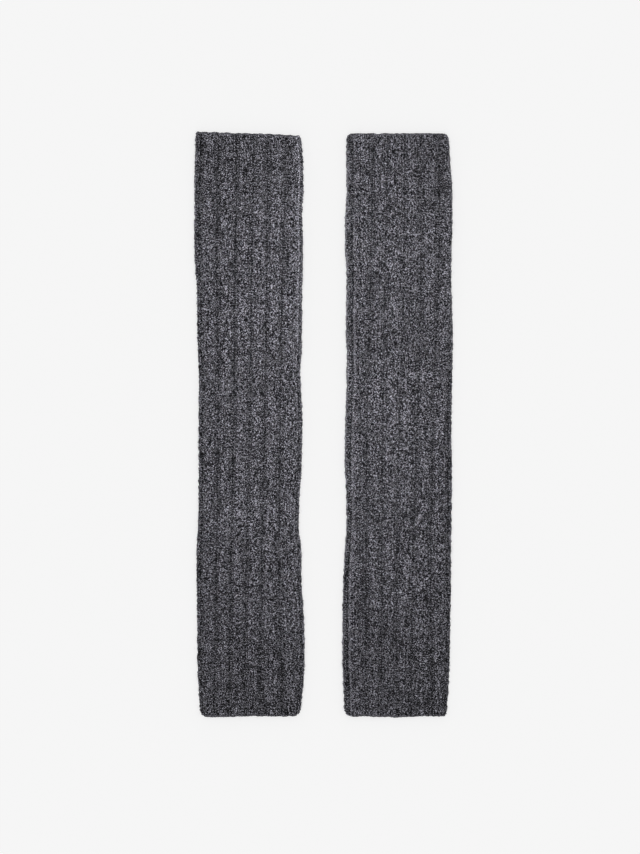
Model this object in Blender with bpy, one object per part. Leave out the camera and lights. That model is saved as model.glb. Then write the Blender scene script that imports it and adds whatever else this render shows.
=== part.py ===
"""A pair of long fingerless mittens in wide rib knit, laid flat side by side on a table.

Each mitten is one knitted rectangle folded lengthways at the pair's outer side, with its two
selvedges meeting in a side seam at the inner side. It lies as a flattened tube, open at both
ends. Its upper layer rests on its under layer, and each layer is a solid of its own: they part
by the width of the seam, at the seam and at the fold alike.

Frame: metres, +Z up from the table, +Y along the mittens to their upper ends, +X from the left
mitten to the right one, and the origin under the middle of the pair.
"""
import math
from collections import namedtuple

import bmesh
import bpy
import numpy as np

MM = 0.001

# Driving dimensions
MITTEN_LENGTH = 450 * MM
WALL = 2.2 * MM            # thickness of one layer of the knit
LAYER_GAP = 0.6 * MM       # air between the two layers
SEAM_GAP = 0.3 * MM        # between the two layers' edges, at the seam and at the fold
SECTION_STEP = 21 * MM     # longest distance between two cross-sections

# Derived sizes
EDGE_RADIUS = WALL + LAYER_GAP / 2      # outer radius of a long edge, seen from the end
FLAT_HEIGHT = 2 * EDGE_RADIUS           # both layers and the air between them

# How finely the curved parts are faceted
EDGE_FACETS = 4
CORNER_FACETS = 3
UNDERSIDE_POINTS = 4

# A rib's crest is flat between two shoulders, and the troughs lie between the ribs.
SHOULDER = 0.33            # from a trough to its shoulders, as a share of the way to the next one

# The knit's outline from above, in millimetres. from_top is the distance from the upper end;
# left and right are how far each side lies from the mitten's own middle line; lift is how far
# the upper layer stands off the under layer, halfway across.
Section = namedtuple("Section", "from_top left right lift")

LEFT_SECTIONS = [
    Section(0, 41.5, 39.0, 0.2),
    Section(15, 42.0, 40.5, 0.3),
    Section(45, 42.5, 41.0, 0.4),
    Section(62, 42.5, 40.0, 0.4),
    Section(90, 42.5, 41.0, 0.2),
    Section(126, 40.5, 40.0, 0.5),
    Section(163, 40.0, 40.0, 0.7),
    Section(182, 39.0, 39.0, 0.6),
    Section(219, 39.0, 40.5, 0.4),
    Section(265, 39.0, 39.5, 0.5),
    Section(302, 39.5, 37.5, 0.8),
    Section(320, 40.5, 39.5, 0.6),
    Section(339, 40.5, 39.5, 0.4),
    Section(385, 40.0, 42.0, 0.3),
    Section(413, 40.0, 42.0, 0.5),
    Section(441, 38.5, 40.0, 0.2),
    Section(450, 38.0, 39.0, 0.1),
]

RIGHT_SECTIONS = [
    Section(0, 40.0, 39.0, 0.1),
    Section(15, 40.0, 39.5, 0.2),
    Section(52, 39.5, 41.5, 0.4),
    Section(80, 41.0, 41.0, 0.5),
    Section(99, 39.5, 41.0, 0.5),
    Section(145, 40.0, 41.5, 0.3),
    Section(182, 39.5, 41.0, 0.5),
    Section(228, 41.0, 40.5, 0.6),
    Section(265, 41.0, 41.0, 0.4),
    Section(284, 39.5, 41.0, 0.4),
    Section(320, 40.5, 40.5, 0.6),
    Section(348, 42.0, 40.5, 0.7),
    Section(376, 42.5, 40.0, 0.5),
    Section(413, 42.5, 39.5, 0.3),
    Section(432, 42.0, 38.5, 0.2),
    Section(450, 41.5, 37.5, 0.1),
]

# The lines that the troughs between the ribs follow on the upper layer, in millimetres from the
# mitten's own middle line. The next trough on either side runs along the round edge itself.
Troughs = namedtuple("Troughs", "from_top first second third fourth fifth")

LEFT_TROUGHS = [
    Troughs(0, -24.0, -9.5, 3.5, 14.5, 28.5),
    Troughs(95, -25.0, -11.0, 2.0, 13.5, 26.0),
    Troughs(210, -24.0, -12.0, 0.5, 12.0, 23.5),
    Troughs(325, -25.5, -14.0, -2.5, 9.5, 23.0),
    Troughs(450, -27.5, -16.0, -4.5, 8.0, 25.5),
]

RIGHT_TROUGHS = [
    Troughs(0, -19.0, -7.5, 5.5, 17.5, 32.0),
    Troughs(95, -20.5, -9.5, 5.0, 18.0, 31.5),
    Troughs(210, -23.5, -11.5, 1.5, 15.5, 27.5),
    Troughs(325, -24.5, -12.5, -1.0, 11.5, 25.5),
    Troughs(450, -24.5, -13.0, -1.0, 10.0, 26.5),
]

# Corner radii in millimetres, seen from above.
Corners = namedtuple("Corners", "upper_left upper_right lower_left lower_right")

# middle and top place a mitten in the frame. upper_drop is how far its upper end falls from
# the left corner to the right one.
Mitten = namedtuple("Mitten", "name middle top upper_drop sections troughs trough_depth corners")

MITTENS = [
    Mitten(
        name="left_mitten",
        middle=-56.6 * MM,
        top=225.4 * MM,
        upper_drop=2.5 * MM,
        sections=LEFT_SECTIONS,
        troughs=LEFT_TROUGHS,
        trough_depth=0.7 * MM,
        corners=Corners(1.5, 2.5, 6.0, 6.0),
    ),
    Mitten(
        name="right_mitten",
        middle=57.7 * MM,
        top=224.6 * MM,
        upper_drop=0.0,
        sections=RIGHT_SECTIONS,
        troughs=RIGHT_TROUGHS,
        trough_depth=0.4 * MM,
        corners=Corners(4.0, 4.0, 5.0, 3.0),
    ),
]

UPPER, UNDER = 1, -1
LAYERS = {"upper_layer": UPPER, "under_layer": UNDER}

KNIT_COLOUR = (0.074, 0.073, 0.082, 1.0)
KNIT_ROUGHNESS = 0.95


def smooth_value(table, column, from_top):
    """A column of a table at any distance from the top, on a smooth curve."""
    places = np.array([row.from_top for row in table]) * MM
    values = np.array([getattr(row, column) for row in table]) * MM
    slopes = np.gradient(values, places)
    after = int(np.clip(np.searchsorted(places, from_top), 1, len(places) - 1))
    before = after - 1
    span = places[after] - places[before]
    t = (from_top - places[before]) / span
    start_share = 1 - 3 * t**2 + 2 * t**3
    start_slope = (t - 2 * t**2 + t**3) * span
    end_slope = (t**3 - t**2) * span
    return (
        values[before] * start_share
        + values[after] * (1 - start_share)
        + slopes[before] * start_slope
        + slopes[after] * end_slope
    )


def section_places(corners):
    """Distances from the top of the sections: close round the corners, even in between."""
    upper = max(corners.upper_left, corners.upper_right) * MM
    lower = max(corners.lower_left, corners.lower_right) * MM
    quarter = np.linspace(0, math.pi / 2, CORNER_FACETS + 1)[:-1]
    near_top = upper * (1 - np.cos(quarter))
    near_bottom = MITTEN_LENGTH - lower * (1 - np.cos(quarter[::-1]))
    between = MITTEN_LENGTH - upper - lower
    steps = math.ceil(between / SECTION_STEP)
    body = np.linspace(upper, MITTEN_LENGTH - lower, steps + 1)
    return np.concatenate([near_top, body, near_bottom])


def corner_pull(radius, from_end):
    """How far a side is pulled in by its rounded corner, at a distance from the end."""
    if from_end >= radius:
        return 0.0
    return radius - math.sqrt(radius**2 - (radius - from_end) ** 2)


def sides(mitten, from_top):
    """Where the left and right sides of a mitten lie, at a distance from the top."""
    from_bottom = MITTEN_LENGTH - from_top
    corners = mitten.corners
    left_pull = corner_pull(corners.upper_left * MM, from_top)
    left_pull += corner_pull(corners.lower_left * MM, from_bottom)
    right_pull = corner_pull(corners.upper_right * MM, from_top)
    right_pull += corner_pull(corners.lower_right * MM, from_bottom)
    left = mitten.middle - smooth_value(mitten.sections, "left", from_top) + left_pull
    right = mitten.middle + smooth_value(mitten.sections, "right", from_top) - right_pull
    return left, right


def upper_run(mitten, from_top, inset):
    """The upper layer between its long edges: crests and troughs outside, smooth inside."""
    left, right = sides(mitten, from_top)
    lift = smooth_value(mitten.sections, "lift", from_top)
    depth = mitten.trough_depth if inset == 0 else 0.0
    troughs = [
        mitten.middle + smooth_value(mitten.troughs, line, from_top)
        for line in Troughs._fields[1:]
    ]
    gaps = np.diff([left + EDGE_RADIUS, *troughs, right - EDGE_RADIUS])
    points = []
    for trough, gap_before, gap_after in zip(troughs, gaps, gaps[1:]):
        shoulder_before = (trough - SHOULDER * gap_before, 0.0)
        shoulder_after = (trough + SHOULDER * gap_after, 0.0)
        for place, drop in (shoulder_before, (trough, depth), shoulder_after):
            across = (place - left) / (right - left)
            bulge = lift * math.sin(math.pi * across)
            points.append((place, FLAT_HEIGHT - inset + bulge - drop))
    return points


def layer_line(mitten, layer, from_top, inset):
    """One side of a layer's wall in cross-section, from its left lip to its right lip.

    inset is 0 for the outside and the wall's thickness for the inside.
    """
    left, right = sides(mitten, from_top)
    radius = EDGE_RADIUS - inset
    lip = math.asin(SEAM_GAP / 2 / radius)
    angles = np.linspace(lip, math.pi / 2, EDGE_FACETS + 1)
    heights = EDGE_RADIUS + layer * radius * np.sin(angles)
    left_edge = left + EDGE_RADIUS - radius * np.cos(angles)
    right_edge = right - EDGE_RADIUS + radius * np.cos(angles)
    if layer == UPPER:
        run = upper_run(mitten, from_top, inset)
    else:
        across = np.linspace(left_edge[-1], right_edge[-1], UNDERSIDE_POINTS + 2)[1:-1]
        run = [(place, inset) for place in across]
    return (
        list(zip(left_edge, heights))
        + run
        + list(zip(right_edge[::-1], heights[::-1]))
    )


def knit_material(name):
    material = bpy.data.materials.new(name)
    material.use_nodes = True
    shader = material.node_tree.nodes["Principled BSDF"]
    shader.inputs["Base Color"].default_value = KNIT_COLOUR
    shader.inputs["Roughness"].default_value = KNIT_ROUGHNESS
    shader.inputs["Metallic"].default_value = 0.0
    return material


def layer_object(mitten, layer_name):
    """One layer's wall: closed cross-sections joined one to the next, down the mitten."""
    layer = LAYERS[layer_name]
    shape = bmesh.new()
    sections = []
    for from_top in section_places(mitten.corners):
        left, right = sides(mitten, from_top)
        slant = mitten.upper_drop * (1 - from_top / MITTEN_LENGTH)
        outside = layer_line(mitten, layer, from_top, 0.0)
        inside = layer_line(mitten, layer, from_top, WALL)
        section = []
        for across, height in outside + inside[::-1]:
            drop = slant * (across - left) / (right - left)
            along = mitten.top - from_top - drop
            section.append(shape.verts.new((across, along, height)))
        sections.append(section)

    around = len(sections[0])
    for section, following in zip(sections, sections[1:]):
        for i in range(around):
            j = (i + 1) % around
            shape.faces.new((section[i], section[j], following[j], following[i]))
    for section in (sections[0], sections[-1]):
        for i in range(around // 2 - 1):
            shape.faces.new((section[i], section[i + 1], section[-2 - i], section[-1 - i]))
    bmesh.ops.recalc_face_normals(shape, faces=shape.faces)

    name = f"{mitten.name}_{layer_name}"
    mesh = bpy.data.meshes.new(name)
    shape.to_mesh(mesh)
    shape.free()
    mesh.materials.append(knit_material(name))
    mesh.shade_smooth()
    mesh.set_sharp_from_angle(angle=math.radians(40))
    bpy.context.collection.objects.link(bpy.data.objects.new(name, mesh))


for old in list(bpy.data.objects):
    bpy.data.objects.remove(old)

for mitten in MITTENS:
    for layer_name in LAYERS:
        layer_object(mitten, layer_name)
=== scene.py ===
import math
from collections import namedtuple

import bpy
import numpy as np
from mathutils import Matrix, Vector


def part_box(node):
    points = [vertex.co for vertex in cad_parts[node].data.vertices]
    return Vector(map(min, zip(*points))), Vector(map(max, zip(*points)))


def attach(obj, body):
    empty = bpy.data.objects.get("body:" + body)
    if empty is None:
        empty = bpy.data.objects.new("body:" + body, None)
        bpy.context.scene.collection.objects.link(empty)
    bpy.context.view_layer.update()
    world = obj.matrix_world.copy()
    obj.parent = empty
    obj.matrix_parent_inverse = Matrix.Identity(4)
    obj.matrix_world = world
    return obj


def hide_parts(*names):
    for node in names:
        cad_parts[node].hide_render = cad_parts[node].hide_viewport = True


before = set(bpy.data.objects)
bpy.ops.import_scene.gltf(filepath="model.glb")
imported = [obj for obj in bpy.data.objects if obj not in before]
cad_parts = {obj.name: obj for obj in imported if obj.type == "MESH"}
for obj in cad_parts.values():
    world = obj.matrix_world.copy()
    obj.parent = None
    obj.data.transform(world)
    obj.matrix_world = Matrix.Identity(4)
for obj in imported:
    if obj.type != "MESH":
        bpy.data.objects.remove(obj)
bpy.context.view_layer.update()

# ---- Knitted panels ---------------------------------------------------------------------------
# Each mitten is one panel of soft grey wool in a wide rib: three wales of knit stitches stand up
# as a rib, and two wales of purl stitches sink between it and the next. The panel was folded
# lengthways and closed by a side seam at the pair's inner side, and it lies flat as a tube.

MM = 0.001                 # lengths are in metres, or in millimetres where a comment says so
COURSES = 214              # rows of stitches from end to end
WALES_IN_RIB = 5
KNIT_WALES = 3
RIBS = 13                  # all round a mitten
WALES = RIBS * WALES_IN_RIB
WALL = 2.2 * MM            # thickness of the knit
RIM_RADIUS = WALL / 2

# Where the troughs between the ribs run, in millimetres. Those on the upper layer are measured
# from the mitten's own middle line, and the two by the long edges round the edge from its middle.
Troughs = namedtuple("Troughs", "from_top left_edge first second third fourth fifth right_edge")

LEFT_TROUGHS = [
    Troughs(0, 6.2, -24.0, -9.5, 3.5, 14.5, 28.5, 3.0),
    Troughs(95, 4.8, -25.0, -11.0, 2.0, 13.5, 26.0, 3.0),
    Troughs(210, 3.9, -24.0, -12.0, 0.5, 12.0, 23.5, 3.6),
    Troughs(325, 4.3, -25.5, -14.0, -2.5, 9.5, 23.0, 3.6),
    Troughs(450, 3.2, -27.5, -16.0, -4.5, 8.0, 25.5, 4.8),
]

RIGHT_TROUGHS = [
    Troughs(0, 5.6, -19.0, -7.5, 5.5, 17.5, 32.0, -4.5),
    Troughs(95, 6.6, -20.5, -9.5, 5.0, 18.0, 31.5, -1.0),
    Troughs(210, 6.0, -23.5, -11.5, 1.5, 15.5, 27.5, 4.3),
    Troughs(325, 4.8, -24.5, -12.5, -1.0, 11.5, 25.5, 4.4),
    Troughs(450, 5.4, -24.5, -13.0, -1.0, 10.0, 26.5, 3.3),
]

# How deep each of those troughs is, in millimetres, and how deep the ones underneath are.
Depths = namedtuple("Depths", "left_edge first second third fourth fifth right_edge underneath")

# A soft swell or hollow in the upper layer, in millimetres: its place down from the top and
# across from the middle line, how far it reaches both ways, and its height.
Swell = namedtuple("Swell", "from_top across reach_down reach_across height")

LEFT_SWELLS = [
    Swell(120, 38, 150, 3.5, 0.70),
    Swell(20, -30, 26, 22, -0.35),
    Swell(72, 22, 30, 26, 0.45),
    Swell(150, 8, 34, 34, 0.55),
    Swell(182, -28, 20, 18, -0.30),
    Swell(238, 20, 22, 20, 0.35),
    Swell(300, 2, 18, 30, 0.60),
    Swell(352, 26, 26, 16, 0.45),
    Swell(420, -14, 20, 30, -0.40),
]

RIGHT_SWELLS = [
    Swell(300, -35, 190, 3.0, 0.80),
    Swell(320, -29, 160, 2.0, -0.60),
    Swell(24, 26, 28, 14, -0.35),
    Swell(86, -16, 30, 26, 0.40),
    Swell(148, 18, 22, 22, -0.25),
    Swell(214, -2, 34, 34, 0.50),
    Swell(262, -32, 26, 10, 0.35),
    Swell(334, 12, 22, 26, 0.55),
    Swell(392, -20, 18, 20, -0.30),
    Swell(436, 14, 16, 30, -0.35),
]

# How far the knit reaches past its solid's outline, in millimetres, at five places along each
# side: from left to right along the ends, and downwards along the long edges.
Reach = namedtuple("Reach", "upper_end lower_end left_edge right_edge")

# How much larger the knit's corners are than its solid's, as a factor for each.
Rounder = namedtuple("Rounder", "left_upper right_upper left_lower right_lower")

# The trough at the side seam: its number, how many wales it spreads to each side, at which wale
# the seam's stitches run, how many millimetres they lie below the crests in the upper third and
# further down, and how pale they are painted, as a painted highlight along the seam.
Seam = namedtuple("Seam", "trough spread wale sunk_above sunk_below shade")

Mitten = namedtuple(
    "Mitten", "name slot upper under middle troughs depths swells reach rounder seam seed"
)

MITTENS = [
    Mitten(
        name="left_mitten",
        slot="left_knit",
        upper="left_mitten_upper_layer",
        under="left_mitten_under_layer",
        middle=-56.6,
        troughs=LEFT_TROUGHS,
        depths=Depths(1.4, 1.1, 1.3, 1.1, 1.1, 1.0, 1.2, 0.8),
        swells=LEFT_SWELLS,
        reach=Reach(
            upper_end=(0.2, 0.1, 0.0, 0.1, -0.7),
            lower_end=(1.0, 0.7, -0.1, 0.2, -0.3),
            left_edge=(0.0, 0.0, 0.3, 0.3, 0.1),
            right_edge=(0.8, 0.8, 0.4, 0.7, 0.2),
        ),
        rounder=Rounder(1.0, 1.0, 1.2, 1.0),
        seam=Seam(trough=6, spread=1.0, wale=29.3, sunk_above=0.35, sunk_below=1.7, shade=2.0),
        seed=11,
    ),
    Mitten(
        name="right_mitten",
        slot="right_knit",
        upper="right_mitten_upper_layer",
        under="right_mitten_under_layer",
        middle=57.7,
        troughs=RIGHT_TROUGHS,
        depths=Depths(1.3, 0.7, 0.45, 0.5, 0.6, 0.8, 1.2, 0.7),
        swells=RIGHT_SWELLS,
        reach=Reach(
            upper_end=(-0.8, -0.6, -0.4, -0.4, -0.4),
            lower_end=(-0.7, -0.6, 0.1, -0.6, -0.8),
            left_edge=(-0.2, 0.3, -0.4, 0.3, -0.2),
            right_edge=(0.4, 1.5, 1.0, 0.6, 0.4),
        ),
        rounder=Rounder(1.2, 1.4, 1.25, 1.1),
        seam=Seam(trough=0, spread=0.9, wale=0.72, sunk_above=1.5, sunk_below=0.35, shade=1.5),
        seed=23,
    ),
]

Outline = namedtuple("Outline", "from_top left right left_y right_y middle edge_radius corners")
CORNER_FACETS = 3          # flats round each corner of a solid's outline
LEVEL = 0.02 * MM          # points that differ less than this in height are at one level
NEXT_SECTION = 0.15 * MM   # and those further apart than this down a mitten, on two sections


def numbers_of(parts, name, kind=int, each=1):
    """What each part of a mesh has under this name."""
    numbers = np.empty(each * len(parts), kind)
    parts.foreach_get(name, numbers)
    return numbers


def mesh_points(mesh):
    """A mesh's points as rows of three."""
    return numbers_of(mesh.vertices, "co", float, 3).reshape(-1, 3)


def outline_of(mitten):
    """A mitten's long edges as seen from above, down from its upper end, off its solids' lips."""
    points = mesh_points(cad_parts[mitten.upper].data)
    lip_height = points[:, 2].min()
    lips = points[points[:, 2] < lip_height + LEVEL]
    between = (lips[:, 0].min() + lips[:, 0].max()) / 2
    edges = []
    for side, outermost in (
        (lips[lips[:, 0] < between], np.argmin),
        (lips[lips[:, 0] > between], np.argmax),
    ):
        side = side[np.argsort(-side[:, 1])]
        next_section = np.where(-np.diff(side[:, 1]) > NEXT_SECTION)[0] + 1
        sections = np.split(side, next_section)
        edges.append(np.array([section[outermost(section[:, 0])] for section in sections]))
    left, right = edges
    corners = {}
    for side, edge in (("left", left), ("right", right)):
        for end, tip, start in (("upper", 0, CORNER_FACETS), ("lower", -1, -1 - CORNER_FACETS)):
            size = abs(edge[tip, :2] - edge[start, :2])
            corners[side, end] = tuple(size * getattr(mitten.rounder, side + "_" + end))
        edge[:CORNER_FACETS, 0] = edge[CORNER_FACETS, 0]
        edge[-CORNER_FACETS:, 0] = edge[-1 - CORNER_FACETS, 0]
    under_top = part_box(mitten.under)[1].z
    from_top = left[0, 1] - left[:, 1]
    places = np.linspace(0, from_top[-1], len(mitten.reach.left_edge))
    return Outline(
        from_top=from_top,
        left=left[:, 0] - smooth_values(from_top, places, mitten.reach.left_edge) * MM,
        right=right[:, 0] + smooth_values(from_top, places, mitten.reach.right_edge) * MM,
        left_y=left[:, 1],
        right_y=right[:, 1],
        middle=mitten.middle * MM,
        edge_radius=(under_top + lip_height) / 2,
        corners=corners,
    )


def smooth_values(at, places, values):
    """Values at any places along a table, on a smooth curve with no overshoot."""
    places, values = np.asarray(places, float), np.asarray(values, float)
    rises = np.diff(values) / np.diff(places)
    same_way = rises[:-1] * rises[1:] > 0
    total = np.where(same_way, rises[:-1] + rises[1:], 1.0)
    inner = np.where(same_way, 2 * rises[:-1] * rises[1:] / total, 0.0)
    slopes = np.concatenate([rises[:1], inner, rises[-1:]])
    after = np.clip(np.searchsorted(places, at), 1, len(places) - 1)
    before = after - 1
    span = places[after] - places[before]
    t = np.clip((at - places[before]) / span, 0, 1)
    start = 1 - 3 * t**2 + 2 * t**3
    return (
        values[before] * start
        + values[after] * (1 - start)
        + slopes[before] * (t - 2 * t**2 + t**3) * span
        + slopes[after] * (t**3 - t**2) * span
    )


WAVE_LENGTHS = (34 * MM, 61 * MM)  # of the small waves that each trough makes sideways
WAVE_SIZES = (0.10, 0.22)  # the least and the most that they reach, in millimetres


def trough_runs(mitten, outline, from_top):
    """How far round the tube each of the 13 troughs runs, and the first one again, a row each.

    The way round starts at the middle of the left edge, goes over the top to the right edge and
    comes back underneath.
    """
    radius = outline.edge_radius
    quarter = math.pi * radius / 2
    left = smooth_values(from_top, outline.from_top, outline.left)
    right = smooth_values(from_top, outline.from_top, outline.right)
    half_way = right - left - 2 * radius + 2 * quarter
    downs = [row.from_top * MM for row in mitten.troughs]
    rng = np.random.default_rng(mitten.seed)
    runs = []
    for name in Troughs._fields[1:]:
        run = smooth_values(from_top, downs, [getattr(row, name) * MM for row in mitten.troughs])
        if name == "right_edge":
            run = half_way - run
        elif name != "left_edge":
            run = quarter + outline.middle + run - left - radius
        for length in WAVE_LENGTHS:
            size = rng.uniform(*WAVE_SIZES) * MM
            phase = rng.uniform(0, 6.28)
            run = run + size * np.sin(2 * math.pi * from_top / length + phase)
        runs.append(run)
    hidden = RIBS - len(runs) + 1
    first_again = runs[0] + 2 * half_way
    last_seen = runs[-1]
    for i in range(1, hidden):
        runs.append(last_seen + (first_again - last_seen) * i / hidden)
    runs.append(first_again)
    return runs, left, right


def swell_height(mitten, outline, from_top, across):
    """How far a mitten's swells lift its upper layer at these places."""
    height = 0.0
    for swell in mitten.swells:
        down = (from_top - swell.from_top * MM) / (swell.reach_down * MM)
        over = (across - outline.middle - swell.across * MM) / (swell.reach_across * MM)
        height = height + swell.height * MM * np.exp(-(down**2) - over**2)
    return height


PUFF = 0.5 * MM            # how much higher the soft upper layer lies than its solid
CREST_CLEARANCE = 0.15 * MM  # room that the underside leaves for stitches that stand proud


def column_points(mitten, outline, wale, from_top):
    """Points down one column of the knit on the panel's outer side, and the ways out of it."""
    runs, left, right = trough_runs(mitten, outline, from_top)
    radius = outline.edge_radius
    quarter = math.pi * radius / 2
    flat = right - left - 2 * radius
    rib, share = divmod(wale % WALES / WALES_IN_RIB, 1)
    run = runs[int(rib)] * (1 - share) + runs[int(rib) + 1] * share
    half_way = flat + 2 * quarter
    run = run % (2 * half_way)
    above = run < half_way
    aside = np.where(above, run, 2 * half_way - run)
    left_turn = np.clip(aside / radius, 0, math.pi / 2)
    right_turn = np.clip((half_way - aside) / radius, 0, math.pi / 2)
    sign = np.where(above, 1.0, -1.0)
    across = left + radius * (1 - np.cos(left_turn) + np.cos(right_turn))
    across += np.clip(aside - quarter, 0, flat)
    rise = np.minimum(np.sin(left_turn), np.sin(right_turn))
    height = radius + sign * radius * rise

    share_across = (across - left) / (right - left)
    lift = swell_height(mitten, outline, from_top, across) + PUFF
    height += above * rise**2 * lift
    height += np.where(above, 0.0, CREST_CLEARANCE * rise)

    left_y = smooth_values(from_top, outline.from_top, outline.left_y)
    right_y = smooth_values(from_top, outline.from_top, outline.right_y)
    past_end = from_top - np.clip(from_top, 0, outline.from_top[-1])
    along = left_y + (right_y - left_y) * share_across - past_end
    out = np.stack([np.cos(right_turn) - np.cos(left_turn), 0 * rise, sign * rise], axis=1)
    return np.stack([across, along, height], axis=1), out


END_UNEVENNESS = 0.4 * MM  # how far one wale ends from where its neighbours do
END_SEEDS = {"upper": 2, "lower": 3}


def short_of_end(mitten, outline, wale, end):
    """How far short of its solid's end a column stops, round a corner and unevenly elsewhere."""
    down = 0.0 if end == "upper" else outline.from_top[-1]
    places, _ = column_points(mitten, outline, wale, np.array([down]))
    row = 0 if end == "upper" else -1
    gaps = {"left": places[0, 0] - outline.left[row], "right": outline.right[row] - places[0, 0]}
    short = 0.0
    for side, gap in gaps.items():
        width, height = outline.corners[side, end]
        if gap < width:
            short = max(short, height * (1 - math.sqrt(1 - (1 - max(gap, 0.0) / width) ** 2)))
    rng = np.random.default_rng(mitten.seed + END_SEEDS[end])
    loops = rng.uniform(-END_UNEVENNESS, END_UNEVENNESS, WALES)
    between = np.interp(wale - 0.5, np.arange(WALES), loops, period=WALES)
    reaches = getattr(mitten.reach, end + "_end")
    at = np.linspace(outline.left[row], outline.right[row], len(reaches))
    reach = np.interp(places[0, 0], at, reaches) * MM
    return short + between - reach


def ends_of(mitten, outline, wale):
    """Where a column of the knit starts and where it ends, both down from the upper end."""
    upper = short_of_end(mitten, outline, wale, "upper")
    return upper, outline.from_top[-1] - short_of_end(mitten, outline, wale, "lower")


LEG_RISE = 0.8             # how far up a leg of a knit stitch runs, in courses
LEAN_FADES = 4             # courses from an end over which the stitches get their full lean
FINE_WALES = (-3, 33)      # those that show from above
FINE_ROWS = 3              # rows of points a course there, where others have one
INSIDE_ROWS = 14
RIM_TURNS = np.radians([45, 90, 135])  # where the points round a rim lie


def knit_columns():
    """The wale number of each column of points round a mitten, and its lean up the wale.

    A knit wale has five columns that make its V, and a purl wale three, the outer two of each
    shared with its neighbours. The lean is how far up a column's stitches are drawn, in courses.
    """
    columns = []
    for rib in range(RIBS):
        start = rib * WALES_IN_RIB
        for half in (-2, -1, 0, 1):
            columns.append((start + half / 2, LEG_RISE))
        for quarter in range(4 * KNIT_WALES):
            from_centre = abs(2 * (quarter / 4 % 1) - 1)
            columns.append((start + 1 + quarter / 4, LEG_RISE * from_centre))
    return columns


def down_the_outside(mitten, outline, wale, lean, courses):
    """Points down one column of a panel's outside, at these courses."""
    first, last = ends_of(mitten, outline, wale)
    reach = last - first - 2 * RIM_RADIUS
    near_end = np.clip(np.minimum(courses, COURSES - courses) / LEAN_FADES, 0, 1)
    from_top = first + RIM_RADIUS + (courses - lean * near_end) * reach / COURSES
    return column_points(mitten, outline, wale, from_top)[0]


def down_the_inside(mitten, outline, wale):
    """Points down the same column round the upper rim, along the inside and round the lower."""
    first, last = ends_of(mitten, outline, wale)
    rims = []
    for end, way in ((first, 1), (last, -1)):
        turn = RIM_TURNS[::way]
        down = end + way * RIM_RADIUS * (1 - np.sin(turn))
        places, out = column_points(mitten, outline, wale, down)
        rims.append(places - out * RIM_RADIUS * (1 - np.cos(turn))[:, None])
    inner_down = np.linspace(first + RIM_RADIUS, last - RIM_RADIUS, INSIDE_ROWS + 1)
    places, out = column_points(mitten, outline, wale, inner_down)
    return np.concatenate([rims[0], places - out * WALL, rims[1]])


def panel_faces(outside, inside, fine):
    """The faces between each column of points and the next, all round a panel."""
    faces = []
    for i in range(len(outside)):
        j = (i + 1) % len(outside)
        here, there = outside[i], outside[j]
        if fine[i] == fine[j]:
            for a, b, c, d in zip(here, here[1:], there[1:], there):
                faces.append((a, b, c, d))
        else:
            # A course has three faces where its rows of points meet a single one.
            for k in range(COURSES):
                row = FINE_ROWS * k
                if fine[i]:
                    a, b, c, d = here[row:row + FINE_ROWS + 1]
                    e, f = there[k], there[k + 1]
                    faces += [(a, b, e), (b, c, f, e), (c, d, f)]
                else:
                    a, b, c, d = there[row:row + FINE_ROWS + 1]
                    e, f = here[k], here[k + 1]
                    faces += [(b, a, e), (c, b, e, f), (d, c, f)]
        within, beside = inside[i], inside[j]
        for a, b, c, d in zip(within, within[1:], beside[1:], beside):
            faces.append((a, d, c, b))
        faces.append((here[0], there[0], beside[0], within[0]))
        faces.append((here[-1], within[-1], beside[-1], there[-1]))
    return faces


def carry(mesh, **numbers):
    """Has each point of a mesh carry these numbers."""
    for name, values in numbers.items():
        mesh.attributes.new(name, "FLOAT", "POINT").data.foreach_set("value", values)


def knit_panel(mitten, outline):
    """A mitten's wall before its stitches are raised: a closed skin, outside, inside and rims.

    Its points carry where they lie in the knit, and its faces two UV maps: Knit counts wales
    and courses, and OFBake lays the skin out flat.
    """
    points, wale_of, course_of, skin_of = [], [], [], []

    def add_points(places, wale, courses, skin):
        start = len(wale_of)
        points.extend(places)
        wale_of.extend([wale] * len(places))
        course_of.extend(courses)
        skin_of.extend([skin] * len(places))
        return list(range(start, start + len(places)))

    outside, inside, fine = [], [], []
    first_fine, last_fine = FINE_WALES
    columns = sorted(knit_columns(), key=lambda column: (column[0] - first_fine) % WALES)
    for wale, lean in columns:
        fine.append((wale - first_fine) % WALES <= last_fine - first_fine)
        rows = (FINE_ROWS if fine[-1] else 1) * COURSES + 1
        courses = np.linspace(0, COURSES, rows)
        places = down_the_outside(mitten, outline, wale, lean, courses)
        outside.append(add_points(places, wale, courses, 1.0))
        places = down_the_inside(mitten, outline, wale)
        courses = np.linspace(1, COURSES - 1, len(places))
        inside.append(add_points(places, wale, courses, 0.0))

    mesh = bpy.data.meshes.new(mitten.name)
    faces = panel_faces(outside, inside, fine)
    mesh.from_pydata([tuple(place) for place in points], [], faces)
    carry(mesh, wale=wale_of, course=course_of, outside=skin_of)
    lay_out(mesh, np.array(wale_of), np.array(course_of), np.array(skin_of), first_fine)
    mesh.shade_smooth()
    return mesh


OUTSIDE_SHARE = 0.74       # of OFBake's width that a panel's outside takes
STRIP_GAP = 0.01           # between it and the strip with the rims and the inside
BAKE_MARGIN = 0.002        # round the whole


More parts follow.
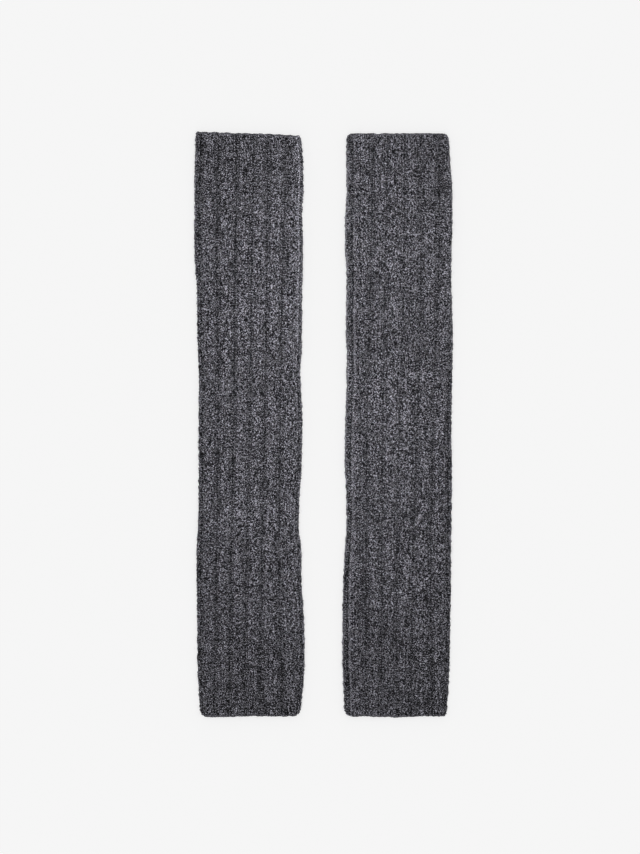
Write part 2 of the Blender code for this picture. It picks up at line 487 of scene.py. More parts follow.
def lay_out(mesh, wale_of, course_of, skin_of, first_wale):
    """Gives a panel its two UV maps."""
    corner = numbers_of(mesh.loops, "vertex_index")
    starts = numbers_of(mesh.polygons, "loop_start")
    sizes = numbers_of(mesh.polygons, "loop_total")
    face = np.repeat(np.arange(len(sizes)), sizes)

    # On the faces that close the round, the first column counts as the one after the last.
    wale = (wale_of[corner] - first_wale) % WALES
    widest = np.maximum.reduceat(wale, starts)[face]
    wale = np.where((widest > WALES - 2) & (wale < 2), wale + WALES, wale)
    course = course_of[corner]
    lining = np.minimum.reduceat(skin_of[corner], starts)[face] < 0.5

    knit = mesh.uv_layers.new(name="Knit")
    knit.uv.foreach_set("vector", np.stack([wale + first_wale, course], axis=1).ravel())

    # The outside takes most of the square, and the rims and the inside a strip beside it.
    strip = OUTSIDE_SHARE + STRIP_GAP + (1 - STRIP_GAP - OUTSIDE_SHARE) * wale / WALES
    across = np.where(lining, strip, OUTSIDE_SHARE * wale / WALES)
    within = 1 - 2 * BAKE_MARGIN
    down = BAKE_MARGIN + within * course / COURSES
    bake = mesh.uv_layers.new(name="OFBake")
    spread = np.stack([down, BAKE_MARGIN + within * across], axis=1)
    bake.uv.foreach_set("vector", spread.ravel())
    mesh.uv_layers.active = knit
    knit.active_render = True


def add_node(tree, kind, inputs=None, **settings):
    """Adds a node with these settings, and sets or links its inputs."""
    made = tree.nodes.new(kind)
    for name, value in settings.items():
        setattr(made, name, value)
    for name, value in (inputs or {}).items():
        if isinstance(value, bpy.types.NodeSocket):
            tree.links.new(value, made.inputs[name])
        else:
            made.inputs[name].default_value = value
    return made


def calc(tree, operation, *values):
    """One step of arithmetic in a node tree."""
    inputs = dict(enumerate(values))
    return add_node(tree, "ShaderNodeMath", inputs, operation=operation).outputs[0]


def calc_vector(tree, operation, *values):
    """The same with vectors. One is scaled by a number."""
    inputs = dict(zip((0, "Scale") if operation == "SCALE" else (0, 1), values))
    return add_node(tree, "ShaderNodeVectorMath", inputs, operation=operation).outputs[0]


def vector(tree, x=0.0, y=0.0, z=0.0):
    """A vector of these three numbers."""
    return add_node(tree, "ShaderNodeCombineXYZ", {"X": x, "Y": y, "Z": z}).outputs[0]


def parts_of(tree, value):
    """What a vector's X, Y and Z are."""
    return add_node(tree, "ShaderNodeSeparateXYZ", {"Vector": value}).outputs


def grain(tree, place, scale=1.0, detail=1.0, roughness=0.5, dimensions="3D"):
    """A soft random pattern on these coordinates, as a number and as a vector."""
    node = add_node(
        tree,
        "ShaderNodeTexNoise",
        {"Vector": place, "Scale": scale, "Detail": detail, "Roughness": roughness},
        noise_dimensions=dimensions,
    )
    return node.outputs["Fac"], node.outputs["Color"]


def random_number(tree, low, high, seed, salt=0, which=None):
    """A number between two for each point, or for each number that says which one it is.

    It comes off the tree's seed, with a salt that sets it apart from the tree's other draws.
    """
    inputs = {"Min": low, "Max": high, "Seed": calc(tree, "ADD", seed, float(salt))}
    if which is not None:
        inputs["ID"] = which
    node = add_node(tree, "FunctionNodeRandomValue", inputs, data_type="FLOAT")
    return node.outputs["Value"]


def geometry_tree(name, *sizes):
    """A Geometry Nodes tree with inputs for these sizes, a seed and a material."""
    tree = bpy.data.node_groups.new(name, "GeometryNodeTree")
    inputs = {"Geometry": "Geometry", **dict.fromkeys(sizes, "Float")}
    inputs.update({"Seed": "Int", "Material": "Material"})
    for label, kind in inputs.items():
        tree.interface.new_socket(label, in_out="INPUT", socket_type="NodeSocket" + kind)
    tree.interface.new_socket("Geometry", in_out="OUTPUT", socket_type="NodeSocketGeometry")
    return tree, tree.nodes.new("NodeGroupInput").outputs


def end_tree(tree, geometry, material):
    """Ends a tree in Realize Instances and Set Material."""
    whole = add_node(tree, "GeometryNodeRealizeInstances", {"Geometry": geometry})
    dressed = add_node(tree, "GeometryNodeSetMaterial",
                       {"Geometry": whole.outputs[0], "Material": material})
    add_node(tree, "NodeGroupOutput", {"Geometry": dressed.outputs[0]})


def named(tree, name, kind="FLOAT"):
    """A number, or a vector, that each point carries."""
    node = add_node(tree, "GeometryNodeInputNamedAttribute", {"Name": name}, data_type=kind)
    return node.outputs["Attribute"]


def stored(tree, geometry, name, value):
    """Has each point carry a number."""
    inputs = {"Geometry": geometry, "Name": name, "Value": value}
    return add_node(tree, "GeometryNodeStoreNamedAttribute", inputs,
                    data_type="FLOAT", domain="POINT").outputs[0]


def new_object(name, data):
    """A new object in the scene."""
    made = bpy.data.objects.new(name, data)
    bpy.context.scene.collection.objects.link(made)
    return made


def make_piece(name, carrier, tree, **sizes):
    """Runs a tree on a mesh with these sizes and returns the plain object that comes out."""
    worker = new_object(name + "_carrier", carrier)
    modifier = worker.modifiers.new(tree.name, "NODES")
    modifier.node_group = tree
    for item in tree.interface.items_tree:
        key = item.name.replace(" ", "_").lower()
        if item.in_out == "INPUT" and key in sizes:
            modifier[item.identifier] = sizes[key]
    depsgraph = bpy.context.evaluated_depsgraph_get()
    mesh = bpy.data.meshes.new_from_object(
        worker.evaluated_get(depsgraph), preserve_all_data_layers=True, depsgraph=depsgraph
    )
    mesh.name = name
    bpy.data.objects.remove(worker)
    return new_object(name, mesh)


DEEPEST = 1.95 * MM        # how far the outer side may sink at most
GAP_REACH = 0.25           # of a stitch, to each side of the middle of a gap
PURL_REACH = 1.01          # wales to each side of a trough's middle that aren't knit
LEGS_PART = 0.45           # wales from the nearest gap beyond which a knit wale has its crease
NUMBERS_A_WALE = 1000.0    # more than its stitches, so that each has a number of its own
LUMPS = 420.0              # bulges of the sides in a metre
STRAYS = 260.0             # and places where the yarn strays sideways
CREASE_SHADE = 0.5         # how much of a gap's painted shade a crease has
LOOSE_SHADE = 0.5          # how much more or less of that painted shade a stitch may have
PAINTED_SIDE_LIGHT = 0.85           # painted light: how much paler the knit is painted where it faces sideways


def gap_at(tree, count):
    """1 in the gap at each whole number, between wales or between courses, and 0 between gaps."""
    from_gap = calc(tree, "MULTIPLY", calc(tree, "PINGPONG", count, 0.5), 1 / GAP_REACH)
    return calc(tree, "MAXIMUM", calc(tree, "SUBTRACT", 1.0, from_gap), 0.0)


def rib_knit_tree():
    """Raises the ribs and stitches of a rib knit on a panel that carries wales and courses."""
    tree, size = geometry_tree(
        "Rib knit", "Stitch Gap", "Wale Gap", "Leg Crease", "Unevenness", "Wander", "Side Bumps"
    )
    wale, course, outside = named(tree, "wale"), named(tree, "course"), named(tree, "outside")
    wale_gap, row_gap = gap_at(tree, wale), gap_at(tree, course)

    # A knit wale also has a crease down its middle, where the two legs of its stitches part.
    from_trough = calc(tree, "PINGPONG", wale, WALES_IN_RIB / 2)
    is_knit = calc(tree, "GREATER_THAN", from_trough, PURL_REACH)
    in_middle = calc(tree, "GREATER_THAN", calc(tree, "PINGPONG", wale, 0.5), LEGS_PART)
    crease = calc(tree, "MULTIPLY", in_middle, is_knit)

    row = calc(tree, "FLOOR", course)
    stitch = calc(tree, "MULTIPLY_ADD", calc(tree, "FLOOR", wale), NUMBERS_A_WALE, row)
    loose = random_number(tree, -1.0, 1.0, size["Seed"], which=stitch)

    depth = calc(tree, "MULTIPLY_ADD", row_gap, size["Stitch Gap"], named(tree, "sunk"))
    depth = calc(tree, "MULTIPLY_ADD", wale_gap, size["Wale Gap"], depth)
    depth = calc(tree, "MULTIPLY_ADD", crease, size["Leg Crease"], depth)
    rough = calc(tree, "MULTIPLY", loose, size["Unevenness"])
    depth = calc(tree, "MULTIPLY_ADD", calc(tree, "SUBTRACT", 1.0, row_gap), rough, depth)
    depth = calc(tree, "MAXIMUM", depth, -CREST_CLEARANCE)
    depth = calc(tree, "MINIMUM", depth, DEEPEST)

    # The sides bulge out and in a little from stitch to stitch.
    place = add_node(tree, "GeometryNodeInputPosition").outputs[0]
    normal = add_node(tree, "GeometryNodeInputNormal").outputs[0]
    facing = parts_of(tree, normal)["Z"]
    at_side = calc(tree, "SUBTRACT", 1.0, calc(tree, "ABSOLUTE", facing))
    lump, _ = grain(tree, place, LUMPS, detail=1.0)
    bulge = calc(tree, "MULTIPLY", calc(tree, "SUBTRACT", lump, 0.5), size["Side Bumps"])
    depth = calc(tree, "MULTIPLY_ADD", bulge, at_side, depth)
    depth = calc(tree, "MULTIPLY", depth, outside)
    push = calc_vector(tree, "SCALE", normal, calc(tree, "MULTIPLY", depth, -1.0))

    # The yarn strays a little, but never up or down.
    _, stray = grain(tree, place, STRAYS, detail=1.0)
    level = calc_vector(tree, "SUBTRACT", stray, (0.5, 0.5, 0.5))
    level = calc_vector(tree, "MULTIPLY", level, (1.0, 1.0, 0.0))
    shift = calc_vector(tree, "SCALE", level, calc(tree, "MULTIPLY", size["Wander"], outside))
    moved = add_node(tree, "GeometryNodeSetPosition", {
        "Geometry": size["Geometry"],
        "Offset": calc_vector(tree, "ADD", push, shift),
    })

    # Painted shade: how much less light a point catches than a crest that faces up.
    painted_shade = calc(tree, "ADD", row_gap, wale_gap)
    painted_shade = calc(tree, "MULTIPLY_ADD", crease, CREASE_SHADE, painted_shade)
    unlike = calc(tree, "MULTIPLY_ADD", loose, LOOSE_SHADE, 1.0)
    painted_shade = calc(tree, "MULTIPLY", painted_shade, unlike)
    painted_shade = calc(tree, "ADD", painted_shade, named(tree, "shaded"))
    # Painted light takes some of that shade off where the knit faces sideways.
    sideways = calc(tree, "MULTIPLY_ADD", calc(tree, "MULTIPLY", facing, facing), -1.0, 1.0)
    painted_shade = calc(tree, "MULTIPLY_ADD", sideways, -PAINTED_SIDE_LIGHT, painted_shade)
    end_tree(tree, stored(tree, moved.outputs[0], "painted_shade", painted_shade), size["Material"])
    return tree


TROUGH_SPREAD = 1.3        # wales from a trough's middle to where its side ends
TROUGH_FLOOR = 0.15        # wales from its middle to where its side starts
RIB_ROUNDNESS = 0.22 * MM  # how much lower a rib is at its edges, before the troughs sink
DEPTH_WAVES = ((83 * MM, 0.2), (37 * MM, 0.2), (17 * MM, 0.15))  # lengths, shares of the depth
TROUGH_SHADE = 0.48        # painted shade that a trough gets for each millimetre of its depth
SWELL_SHADE = 0.25         # and painted light that a swell gets for each millimetre of its height


def sink_ribs(mesh, mitten, outline):
    """Has each point carry how far the rib there sinks below its crest, and the shade painted
    there.
    """
    wale = numbers_of(mesh.attributes["wale"].data, "value", float)
    points = mesh_points(mesh)
    down = outline.left_y[0] - points[:, 1]
    rng = np.random.default_rng(mitten.seed + 1)
    rib = np.round(wale / WALES_IN_RIB).astype(int) % RIBS
    *seen, underneath = mitten.depths
    depths = np.array(seen + [underneath] * (RIBS - len(seen))) * MM
    depth = depths[rib]
    for length, share in DEPTH_WAVES:
        phases = rng.uniform(0, 2 * math.pi, RIBS)
        depth *= 1 + share * np.sin(2 * math.pi * down / length + phases[rib])
    from_trough = abs(wale - WALES_IN_RIB * np.round(wale / WALES_IN_RIB))
    spread = np.where(rib == mitten.seam.trough, mitten.seam.spread, TROUGH_SPREAD)
    t = np.clip((from_trough - TROUGH_FLOOR) / (spread - TROUGH_FLOOR), 0, 1)
    trough = 1 - t * t * (3 - 2 * t)
    crown = RIB_ROUNDNESS * (1 - from_trough / (WALES_IN_RIB / 2)) ** 2
    sunk = depth * trough + crown
    swollen = swell_height(mitten, outline, down, points[:, 0])
    above = np.clip(points[:, 2] / outline.edge_radius - 1, 0, 1)
    # Painted shade in the troughs, and painted light on the upper layer's swells.
    shaded = (TROUGH_SHADE * sunk - SWELL_SHADE * swollen * above) / MM
    carry(mesh, sunk=sunk, shaded=shaded)


# The wool's greys: the place of each from the darkest fibres to the lightest, and how light it is.
WOOL_GREYS = ((0.0, 0.006), (0.2, 0.014), (0.45, 0.050), (0.72, 0.170), (1.0, 0.58))
WOOL_TINT = (1.0, 0.985, 1.13)  # the red, green and blue in them
WOOL_FINISH = {
    "Roughness": 0.95,
    "Specular IOR Level": 0.1,
    "Sheen Weight": 0.3,
    "Sheen Roughness": 0.3,
}


def wool_colours(tree, tone, shade):
    """The greys of the wool at a tone from 0 to 1."""
    node = add_node(tree, "ShaderNodeValToRGB", {"Fac": tone})
    stops = node.color_ramp.elements
    for place, _ in WOOL_GREYS[1:-1]:
        stops.new(place)
    for stop, (_, grey) in zip(stops, WOOL_GREYS):
        stop.color = [grey * shade * part for part in WOOL_TINT] + [1.0]
    return node.outputs["Color"]


def new_material(name, finish):
    """A material with this finish, its node tree and its shader."""
    material = bpy.data.materials.new(name)
    material.use_nodes = True
    shader = material.node_tree.nodes["Principled BSDF"]
    for label, value in finish.items():
        shader.inputs[label].default_value = value
    return material, material.node_tree, shader


def stretched(tree, place, scale):
    """Coordinates times a factor for each way."""
    return add_node(tree, "ShaderNodeMapping", {"Vector": place, "Scale": scale}).outputs[0]


def give_relief(tree, shader, height, strength, distance):
    """Raises a pattern on a material's surface."""
    inputs = {"Height": height, "Strength": strength, "Distance": distance}
    bump = add_node(tree, "ShaderNodeBump", inputs)
    tree.links.new(bump.outputs["Normal"], shader.inputs["Normal"])


# How fine the yarn's patterns are. The first ones go on the Knit map, by wale and course, and
# the flecks on the object, by metres.
LEGS = (2.0, 1.0, 1.0)
STREAKS = (2.6, 8.0, 1.0)
HAIRS = (5.0, 30.0, 1.0)
MOTTLES = (3.7, 0.16)
FLECKS = (1520.0, 1520.0, 450.0)
# How much each changes the yarn's tone, from its darkest place to its lightest.
TONES = {"legs": 0.3, "streaks": 2.6, "flecks": 5.7, "mottles": 0.4}
CREST_TONE = 0.265         # what is added to the tone where no shade is painted
PAINTED_SHADE_TONE = -0.24        # and for each unit of painted shade
CREST_LIGHT = 1.08         # how much of its colour the yarn shows where no shade is painted
PAINTED_SHADE_LIGHT = -0.13       # and what is added for each unit of painted shade
LEAST_LIGHT = 0.1
HAIR_CONTRAST = 2.4        # how much lighter its fine hairs are than the dark between them
HAIR_RELIEF = 0.6          # how high they stand, as a share of the streaks


def yarn_material(name, shade):
    """Grey wool spun of dark and light fibres. Every leg of a stitch has its own mix of them."""
    material, tree, shader = new_material(name, WOOL_FINISH)
    knit = add_node(tree, "ShaderNodeUVMap", uv_map="Knit").outputs["UV"]
    place = add_node(tree, "ShaderNodeTexCoord").outputs["Object"]
    painted_shade = add_node(tree, "ShaderNodeAttribute", attribute_name="painted_shade").outputs["Fac"]

    leg = calc_vector(tree, "FLOOR", calc_vector(tree, "MULTIPLY", knit, LEGS))
    leg_tone = add_node(tree, "ShaderNodeTexWhiteNoise", {"Vector": leg},
                        noise_dimensions="2D").outputs["Value"]
    streaks, flecks = stretched(tree, knit, STREAKS), stretched(tree, place, FLECKS)
    streak, _ = grain(tree, streaks, detail=2.0, roughness=0.6, dimensions="2D")
    fleck, _ = grain(tree, flecks, detail=2.0, roughness=0.4)
    hair, _ = grain(tree, stretched(tree, knit, HAIRS), dimensions="2D")
    parts = parts_of(tree, knit)
    across = calc(tree, "MULTIPLY", calc(tree, "FLOOR", parts["X"]), MOTTLES[0])
    down_wale = vector(tree, across, calc(tree, "MULTIPLY", parts["Y"], MOTTLES[1]))
    mottle, _ = grain(tree, down_wale, dimensions="2D")

    patterns = {"legs": leg_tone, "streaks": streak, "flecks": fleck, "mottles": mottle}
    tone = 0.0
    for name, change in TONES.items():
        swing = calc(tree, "MULTIPLY_ADD", patterns[name], change, -change / 2)
        tone = calc(tree, "ADD", swing, tone)
    # The painted shade that each point carries darkens both its tone and its colour.
    shaded = calc(tree, "MULTIPLY_ADD", painted_shade, PAINTED_SHADE_TONE, CREST_TONE)
    colour = wool_colours(tree, calc(tree, "ADD", shaded, tone), shade)

    light = calc(tree, "MULTIPLY_ADD", painted_shade, PAINTED_SHADE_LIGHT, CREST_LIGHT)
    light = calc(tree, "MAXIMUM", light, LEAST_LIGHT)
    hairs = calc(tree, "MULTIPLY_ADD", hair, HAIR_CONTRAST, 1.0 - HAIR_CONTRAST / 2)
    hairy = calc_vector(tree, "SCALE", colour, calc(tree, "MULTIPLY", hairs, light))
    tree.links.new(hairy, shader.inputs["Base Color"])
    relief = calc(tree, "ADD", streak, calc(tree, "MULTIPLY", hair, HAIR_RELIEF))
    give_relief(tree, shader, relief, strength=0.6, distance=0.3 * MM)
    return material


rib_knit = rib_knit_tree()
yarns = {
    "left_mitten": yarn_material("left_yarn", shade=0.88),
    "right_mitten": yarn_material("right_yarn", shade=0.87),
}
outlines, knits = {}, {}
for mitten in MITTENS:
    outline = outline_of(mitten)
    panel = knit_panel(mitten, outline)
    sink_ribs(panel, mitten, outline)
    knit = make_piece(
        mitten.name,
        panel,
        rib_knit,
        stitch_gap=0.38 * MM,
        wale_gap=0.32 * MM,
        leg_crease=0.14 * MM,
        unevenness=0.14 * MM,
        wander=0.9 * MM,
        side_bumps=2.4 * MM,
        seed=mitten.seed,
        material=yarns[mitten.name],
    )
    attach(knit, "root")
    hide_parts(mitten.upper, mitten.under)
    outlines[mitten.name] = outline
    knits[mitten.name] = knit

# ---- Side seams -------------------------------------------------------------------------------
# The panel's two long sides meet in a seam at the inner side of the pair. A strand of the same
# yarn links them, one slanting stitch a course, in a low ridge beside the trough at the edge.

SEAM_STOPS_SHORT = 2.0 * MM  # how far from the ends its first and last stitches lie
SEAM_DIVES = (110 * MM, 190 * MM)  # from where to where it goes from its upper to its lower depth
SEAM_LEANS = (0.85, 1.2)   # the least and the most that a stitch slants, in radians
SEAM_SIZES = (0.85, 1.15)  # and the smallest and largest, as factors


def points_with_ways(name, places, out, along):
    """A mesh of loose points. Each carries the way out of the knit there and the way along."""
    mesh = bpy.data.meshes.new(name)
    mesh.from_pydata([tuple(place) for place in places], [], [])
    for label, ways in (("out", out), ("along", along)):
        carried = mesh.attributes.new(label, "FLOAT_VECTOR", "POINT")
        carried.data.foreach_set("vector", ways.ravel())
    return mesh


def unit(ways):
    """The same ways, each of length one."""
    return ways / np.linalg.norm(ways, axis=1)[:, None]


def seam_points(mitten, outline):
    """A point for each stitch of a mitten's seam."""
    seam = mitten.seam
    first, last = ends_of(mitten, outline, seam.wale)
    from_top = np.linspace(first + SEAM_STOPS_SHORT, last - SEAM_STOPS_SHORT, COURSES)
    places, out = column_points(mitten, outline, seam.wale, from_top)
    along = unit(np.gradient(places, axis=0))
    out = unit(out)
    sunk = np.interp(from_top, SEAM_DIVES, (seam.sunk_above * MM, seam.sunk_below * MM))
    return points_with_ways(mitten.name + "_seam", places - sunk[:, None] * out, out, along)


def spun(tree, turn, angle):
    """A turn, and then one by this angle about the Z axis that it gives."""
    by = add_node(tree, "FunctionNodeEulerToRotation", {"Euler": vector(tree, z=angle)})
    inputs = {"Rotation": turn, "Rotate By": by.outputs[0]}
    return add_node(tree, "FunctionNodeRotateRotation", inputs, rotation_space="LOCAL").outputs[0]


def turned(tree, lean):
    """The turn that stands a stitch on its point, then leans it about the way out."""
    ways = {0: named(tree, "out", "FLOAT_VECTOR"), 1: named(tree, "along", "FLOAT_VECTOR")}
    stand = add_node(tree, "FunctionNodeAxesToRotation", ways,
                     primary_axis="Z", secondary_axis="Y")
    return spun(tree, stand.outputs[0], lean)


def set_out(tree, points, piece, turn, scale):
    """Puts a copy of a piece at each point."""
    inputs = {"Points": points, "Instance": piece, "Rotation": turn, "Scale": scale}
    placed = add_node(tree, "GeometryNodeInstanceOnPoints", inputs).outputs[0]
    return add_node(tree, "GeometryNodeRealizeInstances", {"Geometry": placed}).outputs[0]


def yarn_along(tree, curve, radius, sides):
    """A round strand along a curve."""
    inputs = {"Resolution": sides, "Radius": 1.0}
    ring = add_node(tree, "GeometryNodeCurvePrimitiveCircle", inputs).outputs[0]
    inputs = {"Curve": curve, "Profile Curve": ring, "Scale": radius, "Fill Caps": True}
    strand = add_node(tree, "GeometryNodeCurveToMesh", inputs).outputs[0]
    return add_node(tree, "GeometryNodeSetShadeSmooth", {"Geometry": strand}).outputs[0]


def linked_seam_tree():
    """Links a seam: a slanting stitch at each point, bowed out of the knit."""
    tree, size = geometry_tree("Linked seam", "Stitch Width", "Stitch Rise", "Yarn Radius")
    half = calc(tree, "MULTIPLY", size["Stitch Width"], 0.5)
    bow = add_node(tree, "GeometryNodeCurveQuadraticBezier", {
        "Resolution": 4,
        "Start": vector(tree, x=calc(tree, "MULTIPLY", half, -1.0)),
        "Middle": vector(tree, z=size["Stitch Rise"]),
        "End": vector(tree, x=half),
    })
    stitch = yarn_along(tree, bow.outputs[0], size["Yarn Radius"], sides=5)
    lean = random_number(tree, *SEAM_LEANS, size["Seed"])
    scale = random_number(tree, *SEAM_SIZES, size["Seed"], salt=1)
    linked = set_out(tree, size["Geometry"], stitch, turned(tree, lean), scale)
    end_tree(tree, linked, size["Material"])
    return tree


STRAND_FLECKS = (1800.0, 1800.0, 540.0)  # in a metre, across and upwards
STRAND_CONTRAST = 3.6      # how much they change its tone
STRAND_TONE = -1.35        # what its darkest fleck adds


def strand_material(name, shade):
    """The same grey wool where a single strand of it shows."""
    material, tree, shader = new_material(name, WOOL_FINISH)
    place = add_node(tree, "ShaderNodeTexCoord").outputs["Object"]
    flecks = stretched(tree, place, STRAND_FLECKS)
    fleck, _ = grain(tree, flecks, detail=2.0, roughness=0.6)
    tone = calc(tree, "MULTIPLY_ADD", fleck, STRAND_CONTRAST, STRAND_TONE)
    tree.links.new(wool_colours(tree, tone, shade), shader.inputs["Base Color"])
    give_relief(tree, shader, fleck, strength=0.5, distance=0.2 * MM)
    return material


linked_seam = linked_seam_tree()
seams = {}
for mitten in MITTENS:
    seam = make_piece(
        mitten.name + "_seam",
        seam_points(mitten, outlines[mitten.name]),
        linked_seam,
        stitch_width=3.0 * MM,
        stitch_rise=0.9 * MM,
        yarn_radius=0.42 * MM,
        seed=mitten.seed,
        # Its strand is painted paler than the knit, a painted highlight along the seam.
        material=strand_material(mitten.name + "_linking", mitten.seam.shade),
    )
    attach(seam, "root")
    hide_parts(mitten.upper)
    seams[mitten.name] = seam

# ---- Edge loops -------------------------------------------------------------------------------
# The knitting starts in a row of cast-on loops and ends in a bound-off one. The two legs of each
# loop wrap over the end of its wale, so both ends of a mitten have a fine scalloped rim.

LOOPS_SINK = 0.3 * MM      # how much deeper in the knit the loops lie at the long edges
LOOP_START = math.radians(-105)  # where a leg starts round the rim
LOOP_SWEEP = math.radians(220)  # and how far round it goes
LOOP_LEANS = (0.15, 0.6)   # the least and the most that it leans to its other leg, in radians
LOOP_SIZES = (0.85, 1.2)   # the smallest and largest, as factors
TABLE_CLEARANCE = 0.02 * MM


def edge_points(mitten, outline):
    """A point for each leg of a loop at a mitten's two open ends, in the middle of the rim."""
    length = outline.from_top[-1]
    places, out, along = [], [], []
    for end, way in (("upper", 1.0), ("lower", -1.0)):
        line, aways = [], []
        for leg in range(2 * WALES):
            wale = leg / 2 + 0.25
            down = RIM_RADIUS + short_of_end(mitten, outline, wale, end)
            if end == "lower":
                down = length - down
            on_top, away = column_points(mitten, outline, wale, np.array([down]))
            line.append(on_top[0])
            aways.append(away[0])
        line, aways = np.array(line), unit(np.array(aways))
        around = np.roll(line, -1, axis=0) - np.roll(line, 1, axis=0)
        outwards = unit(np.cross(around, aways))
        outwards *= np.sign(outwards[:, 1] * way)[:, None]
        sideways = 1 - abs(aways[:, 2:])
        places.append(line - (RIM_RADIUS + LOOPS_SINK * sideways) * aways)
        out.append(aways)
        along.append(outwards)
    mesh = points_with_ways(
        mitten.name + "_loops", np.concatenate(places), np.concatenate(out), np.concatenate(along)
    )
    carry(mesh, leg=np.tile([1.0, -1.0], 2 * WALES))
    return mesh


def above_table(tree, geometry, least):
    """Lifts whatever would dip lower than this above the table."""
    parts = parts_of(tree, add_node(tree, "GeometryNodeInputPosition").outputs[0])
    lifted = vector(tree, parts["X"], parts["Y"], calc(tree, "MAXIMUM", parts["Z"], least))
    inputs = {"Geometry": geometry, "Position": lifted}
    return add_node(tree, "GeometryNodeSetPosition", inputs).outputs[0]


def edge_loop_tree():
    """Wraps a leg of a loop round the rim at each point, leaning towards its other leg."""
    tree, size = geometry_tree("Edge loops", "Loop Radius", "Yarn Radius")
    arc = add_node(tree, "GeometryNodeCurveArc", {
        "Resolution": 8,
        "Radius": size["Loop Radius"],
        "Start Angle": LOOP_START,
        "Sweep Angle": LOOP_SWEEP,
    }, mode="RADIUS")
    upright = add_node(tree, "GeometryNodeTransform", {
        "Geometry": arc.outputs[0], "Rotation": (math.radians(90), 0.0, math.radians(90)),
    })
    loop = yarn_along(tree, upright.outputs[0], size["Yarn Radius"], sides=6)
    lean = random_number(tree, *LOOP_LEANS, size["Seed"])
    lean = calc(tree, "MULTIPLY", lean, named(tree, "leg"))
    scale = random_number(tree, *LOOP_SIZES, size["Seed"], salt=1)
    wrapped = set_out(tree, size["Geometry"], loop, turned(tree, lean), scale)
    end_tree(tree, above_table(tree, wrapped, TABLE_CLEARANCE), size["Material"])
    return tree


edge_loops = edge_loop_tree()
loop_strand = strand_material("loop_strand", 1.1)
loops = {}
for mitten in MITTENS:
    rim = make_piece(
        mitten.name + "_loops",
        edge_points(mitten, outlines[mitten.name]),
        edge_loops,
        loop_radius=0.9 * MM,
        yarn_radius=0.42 * MM,
        seed=mitten.seed,
        material=loop_strand,
    )
    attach(rim, "root")
    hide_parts(mitten.upper, mitten.under)
    loops[mitten.name] = rim

# ---- Stray fibres -----------------------------------------------------------------------------
# Carded wool is hairy. Loose ends of light and dark fibres curl out of the yarn all over the
# face of the knit and give its edges a faint fuzz.

LOWEST_FACING = -0.4       # fibres grow where the knit faces up, sideways or a little down
FIBRE_LENGTHS = (0.45, 1.35)  # the shortest and the longest, as shares of the usual length
FIBRE_CURLS = (-1.0, 1.0)  # how far they curl to one side or the other
FIBRE_LIFTS = (0.1, 1.0)   # and how far off the knit
FIBRE_CLEARANCE = 0.15 * MM  # over the table
FIBRE_TAPER = 0.6          # how much thinner a fibre's end is than its root
FIBRE_KINK = 0.05          # how far each of its points strays, as a share of its curl


def stray_fibre_tree():
    """Scatters short curled fibres over a knit's outside."""
    tree, size = geometry_tree(
        "Stray fibres", "Density", "More At Sides", "Length", "Radius", "Curl", "Lift"
    )
    seed = size["Seed"]
    facing = parts_of(tree, add_node(tree, "GeometryNodeInputNormal").outputs[0])["Z"]
    upwards = calc(tree, "GREATER_THAN", facing, LOWEST_FACING)
    at_side = calc(tree, "SUBTRACT", 1.0, calc(tree, "ABSOLUTE", facing))
    crowding = calc(tree, "MULTIPLY_ADD", at_side, size["More At Sides"], 1.0)
    scattered = add_node(tree, "GeometryNodeDistributePointsOnFaces", {
        "Mesh": size["Geometry"],
        "Selection": calc(tree, "MULTIPLY", upwards, named(tree, "outside")),
        "Density": calc(tree, "MULTIPLY", size["Density"], crowding),
        "Seed": seed,
    }, distribute_method="RANDOM")
    tone = random_number(tree, 0.0, 1.0, seed, salt=2)
    toned = stored(tree, scattered.outputs["Points"], "tone", tone)

    # One bent fibre, which each point turns, stretches and flattens in its own way.
    half = calc(tree, "MULTIPLY", size["Length"], 0.5)
    bent = add_node(tree, "GeometryNodeCurveQuadraticBezier", {
        "Resolution": 4,
        "Start": (0.0, 0.0, 0.0),
        "Middle": vector(tree, half, size["Curl"], size["Lift"]),
        "End": vector(tree, x=size["Length"]),
    })
    spin = random_number(tree, 0.0, 2 * math.pi, seed, salt=3)
    stretch = vector(
        tree,
        random_number(tree, *FIBRE_LENGTHS, seed, salt=4),
        random_number(tree, *FIBRE_CURLS, seed, salt=5),
        random_number(tree, *FIBRE_LIFTS, seed, salt=6),
    )
    turn = spun(tree, scattered.outputs["Rotation"], spin)
    loose = set_out(tree, toned, bent.outputs[0], turn, stretch)
    kinks = [random_number(tree, -FIBRE_KINK, FIBRE_KINK, seed, salt=7 + i) for i in range(3)]
    kink = vector(tree, *[calc(tree, "MULTIPLY", part, size["Curl"]) for part in kinks])
    curled = add_node(tree, "GeometryNodeSetPosition", {"Geometry": loose, "Offset": kink})
    laid = above_table(tree, curled.outputs[0], FIBRE_CLEARANCE)
    along = add_node(tree, "GeometryNodeSplineParameter").outputs["Factor"]
    taper = calc(tree, "SUBTRACT", 1.0, calc(tree, "MULTIPLY", along, FIBRE_TAPER))
    fibres = yarn_along(tree, laid, calc(tree, "MULTIPLY", taper, size["Radius"]), sides=3)
    end_tree(tree, fibres, size["Material"])
    return tree


def fibre_material():
    """Single wool fibres, from dark to pale."""
    finish = {"Roughness": 0.7, "Specular IOR Level": 0.3}
    material, tree, shader = new_material("wool_fibre", finish)
    tone = add_node(tree, "ShaderNodeAttribute", attribute_name="tone").outputs["Fac"]
    ramp = add_node(tree, "ShaderNodeValToRGB", {"Fac": tone})
    first, last = ramp.color_ramp.elements
    first.color = (0.06, 0.06, 0.066, 1.0)
    last.color = (0.62, 0.61, 0.66, 1.0)
    tree.links.new(ramp.outputs["Color"], shader.inputs["Base Color"])
    return material


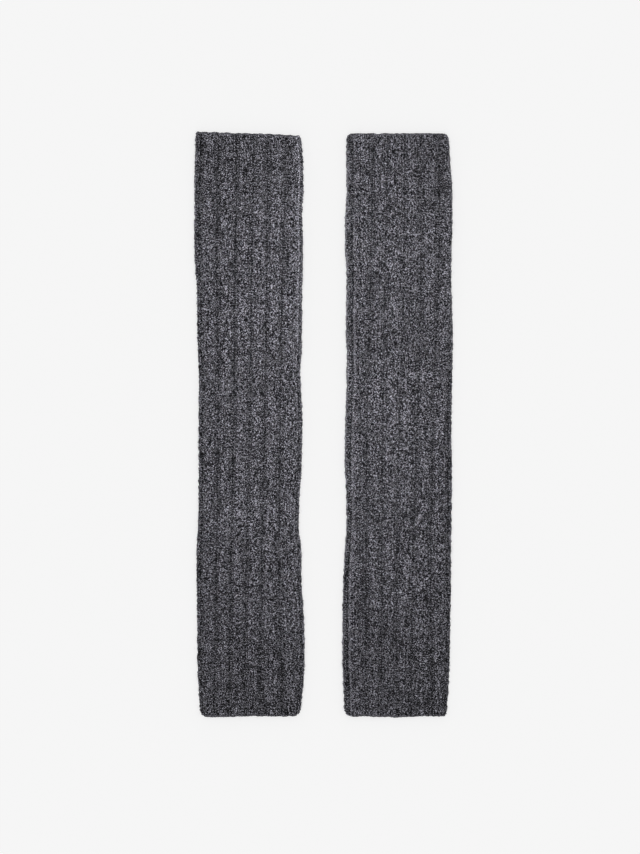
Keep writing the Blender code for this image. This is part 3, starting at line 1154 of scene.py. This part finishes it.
stray_fibres = stray_fibre_tree()
wool_fibre = fibre_material()
fuzz = {}
for mitten in MITTENS:
    hairs = make_piece(
        mitten.name + "_fibres",
        knits[mitten.name].data,
        stray_fibres,
        density=80000.0,
        more_at_sides=9.0,
        length=3.4 * MM,
        radius=0.065 * MM,
        curl=1.8 * MM,
        lift=1.1 * MM,
        seed=mitten.seed,
        material=wool_fibre,
    )
    # What only the knit needs is taken off.
    for name in ("wale", "course", "outside", "sunk", "shaded", "painted_shade", "Knit", "OFBake"):
        layer = hairs.data.attributes.get(name)
        if layer:
            hairs.data.attributes.remove(layer)
    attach(hairs, "root")
    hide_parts(mitten.upper)
    fuzz[mitten.name] = hairs

# ---- Table ------------------------------------------------------------------------------------
# The mittens lie on a plain white table. Wide light makes it evenly pale, and a glow of its own
# stands for that light here.

TABLE_REACH = 12.0         # from its middle to each side, far past all that shows
WHITE_PAPER = {
    "Base Color": (0.40, 0.40, 0.40, 1),
    "Roughness": 1.0,
    "Specular IOR Level": 0.0,
    "Emission Color": (1, 1, 1, 1),
    "Emission Strength": 0.74,
}

table_mesh = bpy.data.meshes.new("table_top")
corners = [(x * TABLE_REACH, y * TABLE_REACH, 0) for x, y in ((-1, -1), (1, -1), (1, 1), (-1, 1))]
table_mesh.from_pydata(corners, [], [(0, 1, 2, 3)])
table_mesh.materials.append(new_material("white_paper", WHITE_PAPER)[0])
table_top = new_object("table_top", table_mesh)

for mitten in MITTENS:
    name = mitten.name

# ---- Light ------------------------------------------------------------------------------------
# A pale room gives light from all round. A large soft lamp over the upper half of the pair
# lights the knit more, and falls off towards the lower end.

ROOM_LIGHT = 0.45
LAMP_WIDTH = 0.22
LAMP_WATTS = 1.6
LAMP_PLACE = (5 * MM, 85 * MM, 430 * MM)

world = bpy.data.worlds.new("studio")
bpy.context.scene.world = world
world.use_nodes = True
background = world.node_tree.nodes["Background"]
background.inputs["Color"].default_value = (1, 1, 1, 1)
background.inputs["Strength"].default_value = ROOM_LIGHT

lamp = bpy.data.lights.new("soft_lamp", "AREA")
lamp.shape = "DISK"
lamp.size = LAMP_WIDTH
lamp.energy = LAMP_WATTS
lamp_object = new_object("soft_lamp", lamp)
lamp_object.location = LAMP_PLACE
lit = bpy.data.collections.new("lit_by_soft_lamp")
for pieces in (knits, seams, loops, fuzz):
    for piece in pieces.values():
        lit.objects.link(piece)
lamp_object.light_linking.receiver_collection = lit
lamp_object.visible_camera = False

# ---- Camera -----------------------------------------------------------------------------------
# It looks straight down on the pair from well above, so that no part of it looks much larger
# than another.

VIEW_HEIGHT = 658 * MM
VIEW_MIDDLE = (-2.2 * MM, -1.9 * MM)
KNIT_HEIGHT = 2.5 * MM     # where the view's height is measured
CAMERA_HEIGHT = 2.4

camera = new_object("camera", bpy.data.cameras.new("camera"))
camera.location = (*VIEW_MIDDLE, CAMERA_HEIGHT)
camera.data.sensor_width = 36
camera.data.lens = camera.data.sensor_width * (CAMERA_HEIGHT - KNIT_HEIGHT) / VIEW_HEIGHT
camera.data.clip_end = 20
bpy.context.scene.camera = camera
bpy.context.scene.view_settings.view_transform = "Standard"
